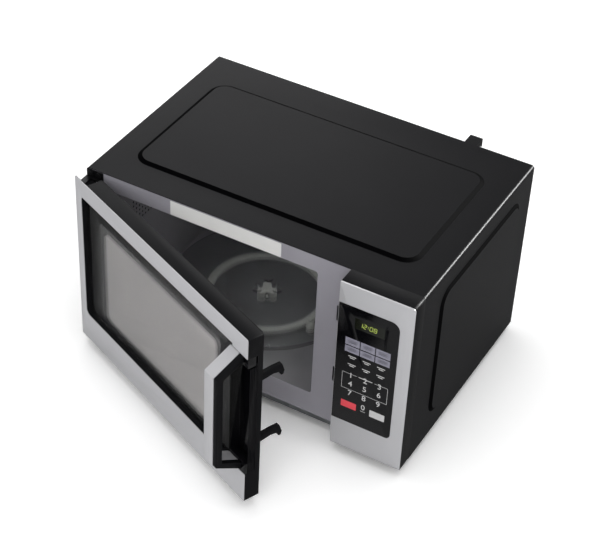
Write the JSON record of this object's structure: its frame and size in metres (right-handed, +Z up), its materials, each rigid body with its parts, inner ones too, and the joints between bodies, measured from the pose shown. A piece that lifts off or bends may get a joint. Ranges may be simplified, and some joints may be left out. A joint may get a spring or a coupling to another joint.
{
  "type": "microwave oven",
  "caption": "Countertop microwave oven with side-hinged window door, bar grip, membrane keypad, glass turntable, latch hooks and full internal power train.",
  "frame": {"origin": "on the surface it stands on, under the middle of its outline with the door ajar", "axes": "+X to the control panel side, +Y to the back, +Z up"},
  "size_m": [0.493, 0.5484, 0.284],
  "materials": {
    "black_paint": "satin black powder coat on steel",
    "galvanised": "zinc-coated steel sheet",
    "grey_enamel": "grey baked paint on steel",
    "steel": "plated steel",
    "black_plastic": "moulded black ABS",
    "gloss_black": "gloss black polyester film",
    "silver": "silver-painted ABS and sheet",
    "white_plastic": "natural polypropylene",
    "mica": "mica sheet",
    "board": "glass-fibre circuit board",
    "aluminium_fin": "bare aluminium",
    "aluminium_can": "drawn aluminium can",
    "core_steel": "varnished steel laminations",
    "copper": "enamelled copper wire",
    "clear_film": "clear polyester film",
    "glass": "clear toughened glass"
  },
  "bodies": {
    "cabinet": {"outer_cabinet": "black_paint", "base_plate": "galvanised", "rear_panel": "galvanised", "front_plate": "grey_enamel", "feet": "black_plastic", "wall_spacer": "black_plastic", "cord_gland": "black_plastic", "cabinet_screws": "steel", "cavity_floor": "grey_enamel", "cavity_left_wall": "grey_enamel", "cavity_right_wall": "grey_enamel", "cavity_rear_wall": "grey_enamel", "cavity_ceiling": "grey_enamel", "waveguide_cover": "mica", "turntable_motor": "galvanised", "upper_hinge": "steel", "lower_hinge": "steel", "hinge_screws": "steel", "control_panel_frame": "black_plastic", "panel_skin": "silver", "keypad_film": "gloss_black", "display_lens": "gloss_black", "display_module": "gloss_black", "control_board": "board", "board_components": "black_plastic", "interlock_bracket": "white_plastic", "interlock_switches": "black_plastic", "waveguide": "galvanised", "magnetron_yoke": "galvanised", "magnetron_anode": "aluminium_fin", "magnetron_filter_box": "galvanised", "transformer_core": "core_steel", "transformer_windings": "copper", "hv_capacitor": "aluminium_can", "capacitor_clamp": "galvanised", "hv_diode": "black_plastic", "fan_shroud": "white_plastic", "fan_motor": "core_steel", "lamp_holder": "white_plastic", "lamp_bulb": "glass"},
    "door": {"door_frame": "black_plastic", "door_skin": "silver", "door_glass": "glass", "screen_plate": "grey_enamel", "inner_window": "clear_film", "choke_cover": "black_plastic", "handle_grip": "silver", "handle_cup": "black_plastic", "latch_spring": "steel"},
    "latch": {"latch_hooks": "black_plastic"},
    "plunger_1": {"switch_plunger_1": "white_plastic"},
    "plunger_2": {"switch_plunger_2": "white_plastic"},
    "plunger_3": {"switch_plunger_3": "white_plastic"},
    "coupler": {"drive_coupler": "white_plastic"},
    "tray": {"glass_tray": "glass"},
    "ring": {"roller_ring": "white_plastic"},
    "wheel_1": {"roller_1": "white_plastic"},
    "wheel_2": {"roller_2": "white_plastic"},
    "wheel_3": {"roller_3": "white_plastic"},
    "fan": {"fan_blade": "white_plastic"}
  },
  "joints": [
    {"name": "door_hinge", "type": "hinge", "parent": "cabinet", "child": "door", "pos_m": [-0.2385, -0.0856, 0.148], "axis": [0, 0, -1], "range_deg": [-23.8, 71.2]},
    {"name": "latch_slide", "type": "slide", "parent": "door", "child": "latch", "axis": [0, 0, 1], "range_m": [0, 0.003], "stiffness_N_per_m": 300, "springref_m": -0.005, "deforming": ["latch_spring"]},
    {"name": "plunger_1_press", "type": "slide", "parent": "cabinet", "child": "plunger_1", "axis": [0, 1, 0], "range_m": [0, 0.0015], "stiffness_N_per_m": 200, "springref_m": -0.003},
    {"name": "plunger_2_press", "type": "slide", "parent": "cabinet", "child": "plunger_2", "axis": [0, 1, 0], "range_m": [0, 0.0015], "stiffness_N_per_m": 200, "springref_m": -0.003},
    {"name": "plunger_3_press", "type": "slide", "parent": "cabinet", "child": "plunger_3", "axis": [0, 1, 0], "range_m": [0, 0.0015], "stiffness_N_per_m": 200, "springref_m": -0.003},
    {"name": "coupler_turn", "type": "hinge", "parent": "cabinet", "child": "coupler", "pos_m": [-0.05785, 0.0873, 0.035], "axis": [0, 0, 1], "continuous": true},
    {"name": "tray_lift", "type": "slide", "parent": "coupler", "child": "tray", "axis": [0, 0, 1], "range_m": [0, 0.03]},
    {"name": "ring_turn", "type": "hinge", "parent": "cabinet", "child": "ring", "pos_m": [-0.05785, 0.0873, 0.04315], "axis": [0, 0, 1], "continuous": true},
    {"name": "wheel_1_spin", "type": "hinge", "parent": "ring", "child": "wheel_1", "pos_m": [0.03236, 0.05447, 0.04315], "axis": [0.9397, -0.342, 0], "continuous": true},
    {"name": "wheel_2_spin", "type": "hinge", "parent": "ring", "child": "wheel_2", "pos_m": [-0.07452, 0.18184, 0.04315], "axis": [-0.1736, 0.9848, 0], "continuous": true},
    {"name": "wheel_3_spin", "type": "hinge", "parent": "ring", "child": "wheel_3", "pos_m": [-0.13139, 0.02559, 0.04315], "axis": [-0.766, -0.6428, 0], "continuous": true},
    {"name": "fan_spin", "type": "hinge", "parent": "cabinet", "child": "fan", "pos_m": [0.172, 0.2322, 0.177], "axis": [0, 1, 0], "continuous": true}
  ],
  "couplings": [
    {"joint": "ring_turn", "follows": "coupler_turn", "ratio": 0.5},
    {"joint": "wheel_1_spin", "follows": "coupler_turn", "ratio": -6.1147},
    {"joint": "wheel_2_spin", "follows": "coupler_turn", "ratio": -6.1147},
    {"joint": "wheel_3_spin", "follows": "coupler_turn", "ratio": -6.1147}
  ]
}
